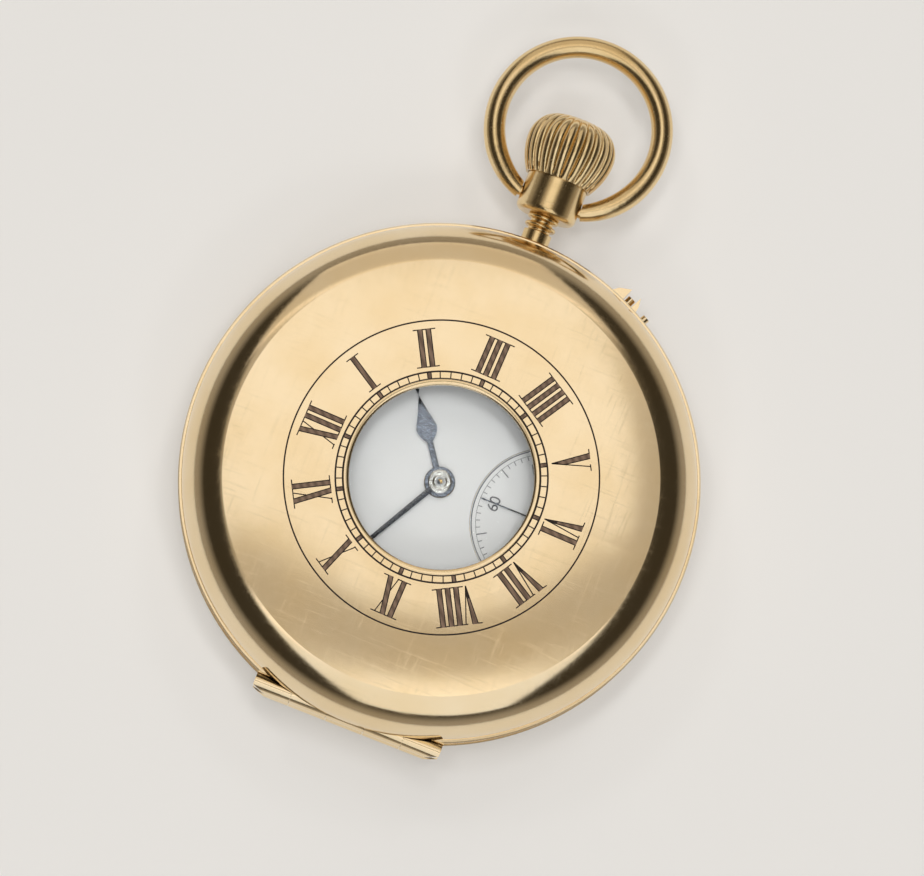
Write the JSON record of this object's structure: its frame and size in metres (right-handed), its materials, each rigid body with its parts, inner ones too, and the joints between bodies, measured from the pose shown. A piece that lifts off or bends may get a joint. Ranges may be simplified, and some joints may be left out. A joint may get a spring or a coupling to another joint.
{
  "type": "half hunter pocket watch",
  "caption": "Gold half hunter pocket watch with a hinged front cover and its round window, enamel dial, spade hands, ribbed crown, swinging bow and lever movement.",
  "frame": {"origin": "centre of the flat of the back cover, where the closed watch rests", "axes": "+Z out of the dial, +Y from the hinges to the pendant, +X from twelve o'clock to six o'clock on the cover"},
  "size_m": [0.05, 0.0712, 0.014],
  "materials": {
    "gold": "polished yellow gold",
    "crystal": "clear polished",
    "enamel": "glossy white enamel",
    "blued_steel": "polished, heat blued",
    "steel": "fine grained",
    "gilt_brass": "frosted gilt",
    "ruby": "polished"
  },
  "bodies": {
    "case": {"case_middle": "gold", "pendant": "gold", "front_hinge_pin": "gold", "back_hinge_pin": "gold", "front_bezel": "gold", "dial_glass": "crystal", "lift_spring": "steel", "dial": "enamel", "seconds_dial": "enamel", "main_plate": "gilt_brass", "pillars": "gilt_brass", "three_quarter_plate": "gilt_brass", "plate_screws": "steel", "case_screws": "steel", "cock_screws": "steel", "jewels": "ruby", "pallet_cock": "gilt_brass", "hairspring": "steel", "balance_cock": "gilt_brass", "click_spring": "steel"},
    "front_lid": {"front_cover": "gold", "cover_glass": "crystal"},
    "back_lid": {"back_cover": "gold"},
    "dust_lid": {"cuvette": "gold"},
    "bow_ring": {"bow": "gold"},
    "winding": {"winding_pinion": "steel"},
    "crown_stem": {"crown": "gold", "winding_stem": "steel"},
    "catch": {"lock_spring": "steel"},
    "push_piece": {"set_pusher": "gold"},
    "setting_lever": {"setting_bar": "steel"},
    "setting": {"setting_wheel": "steel"},
    "crown_gear": {"crown_wheel": "steel"},
    "ratchet": {"ratchet_wheel": "steel", "barrel_arbor": "steel", "ratchet_screw": "steel"},
    "click_pawl": {"click": "steel"},
    "minutes": {"minute_hand": "blued_steel", "cannon_pinion": "steel"},
    "motion": {"minute_wheel": "gilt_brass"},
    "hours": {"hour_wheel": "gilt_brass", "hour_hand": "blued_steel"},
    "going_barrel": {"barrel": "gilt_brass", "barrel_cover": "gilt_brass", "mainspring": "steel"},
    "centre": {"centre_wheel": "gilt_brass"},
    "third": {"third_wheel": "gilt_brass"},
    "fourth": {"fourth_wheel": "gilt_brass", "seconds_hand": "blued_steel"},
    "escape": {"escape_wheel": "steel"},
    "pallets": {"lever": "steel", "pallet_stones": "ruby"},
    "balance": {"balance_wheel": "gilt_brass", "balance_staff": "steel"},
    "index": {"regulator": "steel"}
  },
  "joints": [
    {"name": "front_lid_hinge", "type": "hinge", "parent": "case", "child": "front_lid", "pos_m": [0, -0.0241, 0.0088], "axis": [1, 0, 0], "range_deg": [0, 100]},
    {"name": "back_lid_hinge", "type": "hinge", "parent": "case", "child": "back_lid", "pos_m": [0, -0.0241, 0.0048], "axis": [-1, 0, 0], "range_deg": [0, 100]},
    {"name": "dust_lid_hinge", "type": "hinge", "parent": "case", "child": "dust_lid", "pos_m": [0, -0.0241, 0.0048], "axis": [-1, 0, 0], "range_deg": [0, 90]},
    {"name": "bow_hinge", "type": "hinge", "parent": "case", "child": "bow_ring", "pos_m": [0, 0.02947, 0.0068], "axis": [1, 0, 0], "range_deg": [-90, 90]},
    {"name": "winding_turn", "type": "hinge", "parent": "case", "child": "winding", "pos_m": [0, 0.0142, 0.0068], "axis": [0, 1, 0], "continuous": true},
    {"name": "crown_push", "type": "slide", "parent": "winding", "child": "crown_stem", "axis": [0, -1, 0], "range_m": [0, 0.0005], "stiffness_N_per_m": 2000, "springref_m": -0.0005},
    {"name": "catch_slide", "type": "slide", "parent": "case", "child": "catch", "axis": [0, -1, 0], "range_m": [0, 0.0004]},
    {"name": "set_push", "type": "slide", "parent": "case", "child": "push_piece", "axis": [-0.4163, -0.9092, 0], "range_m": [0, 0.0005], "stiffness_N_per_m": 600, "springref_m": -0.0005},
    {"name": "setting_lever_turn", "type": "hinge", "parent": "case", "child": "setting_lever", "pos_m": [0.012, 0.011, 0.00694], "axis": [0, 0, 1], "range_deg": [0, 5]},
    {"name": "setting_wheel_turn", "type": "hinge", "parent": "setting_lever", "child": "setting", "pos_m": [0.0026, 0.0076, 0.00755], "axis": [0, 0, 1], "continuous": true},
    {"name": "crown_gear_turn", "type": "hinge", "parent": "case", "child": "crown_gear", "pos_m": [0, 0.012, 0.00235], "axis": [0, 0, 1], "continuous": true},
    {"name": "ratchet_turn", "type": "hinge", "parent": "case", "child": "ratchet", "pos_m": [-0.00909, 0.00367, 0.00235], "axis": [0, 0, 1], "continuous": true},
    {"name": "click_turn", "type": "hinge", "parent": "case", "child": "click_pawl", "pos_m": [-0.00928, -0.00577, 0.00235], "axis": [0, 0, 1], "range_deg": [0, 12], "stiffness_Nm_per_rad": 0.0004, "springref_deg": -11.46},
    {"name": "hand_setting", "type": "hinge", "parent": "case", "child": "minutes", "pos_m": [0, 0, 0.00755], "axis": [0, 0, -1], "continuous": true},
    {"name": "minute_wheel_turn", "type": "hinge", "parent": "case", "child": "motion", "pos_m": [0, 0.0034, 0.00755], "axis": [0, 0, -1], "continuous": true},
    {"name": "hour_turn", "type": "hinge", "parent": "case", "child": "hours", "pos_m": [0, 0, 0.00755], "axis": [0, 0, -1], "continuous": true},
    {"name": "fourth_turn", "type": "hinge", "parent": "case", "child": "fourth", "pos_m": [0.0109, 0, 0.00535], "axis": [0, 0, -1], "continuous": true},
    {"name": "third_turn", "type": "hinge", "parent": "case", "child": "third", "pos_m": [0.0063, 0.00349, 0.0046], "axis": [0, 0, -1], "continuous": true},
    {"name": "centre_turn", "type": "hinge", "parent": "case", "child": "centre", "pos_m": [0, 0, 0.00585], "axis": [0, 0, -1], "continuous": true},
    {"name": "barrel_turn", "type": "hinge", "parent": "case", "child": "going_barrel", "pos_m": [-0.00909, 0.00367, 0.00365], "axis": [0, 0, -1], "continuous": true},
    {"name": "escape_turn", "type": "hinge", "parent": "case", "child": "escape", "pos_m": [0.01201, -0.00414, 0.00485], "axis": [0, 0, -1], "continuous": true},
    {"name": "lever_rock", "type": "hinge", "parent": "case", "child": "pallets", "pos_m": [0.00941, -0.00674, 0.0048], "axis": [0, 0, 1], "range_deg": [-5, 5]},
    {"name": "balance_swing", "type": "hinge", "parent": "case", "child": "balance", "pos_m": [0.00559, -0.01056, 0.0037], "axis": [0, 0, 1], "range_deg": [-150, 150], "stiffness_Nm_per_rad": 0.000003},
    {"name": "regulator_turn", "type": "hinge", "parent": "case", "child": "index", "pos_m": [0.00559, -0.01056, 0.00268], "axis": [0, 0, 1], "range_deg": [-20, 20]}
  ],
  "couplings": [
    {"joint": "dust_lid_hinge", "follows": "back_lid_hinge", "ratio": 0.85},
    {"joint": "catch_slide", "follows": "crown_push", "ratio": 0.7},
    {"joint": "setting_lever_turn", "follows": "set_push", "rad_per_m": 157.93},
    {"joint": "crown_gear_turn", "follows": "winding_turn", "ratio": 0.6},
    {"joint": "ratchet_turn", "follows": "winding_turn", "ratio": -0.39},
    {"joint": "minute_wheel_turn", "follows": "hand_setting", "ratio": -0.33333},
    {"joint": "hour_turn", "follows": "hand_setting", "ratio": 0.083333},
    {"joint": "third_turn", "follows": "fourth_turn", "ratio": -0.13333},
    {"joint": "centre_turn", "follows": "fourth_turn", "ratio": 0.016667},
    {"joint": "barrel_turn", "follows": "fourth_turn", "ratio": -0.0027778},
    {"joint": "escape_turn", "follows": "fourth_turn", "ratio": -10}
  ]
}
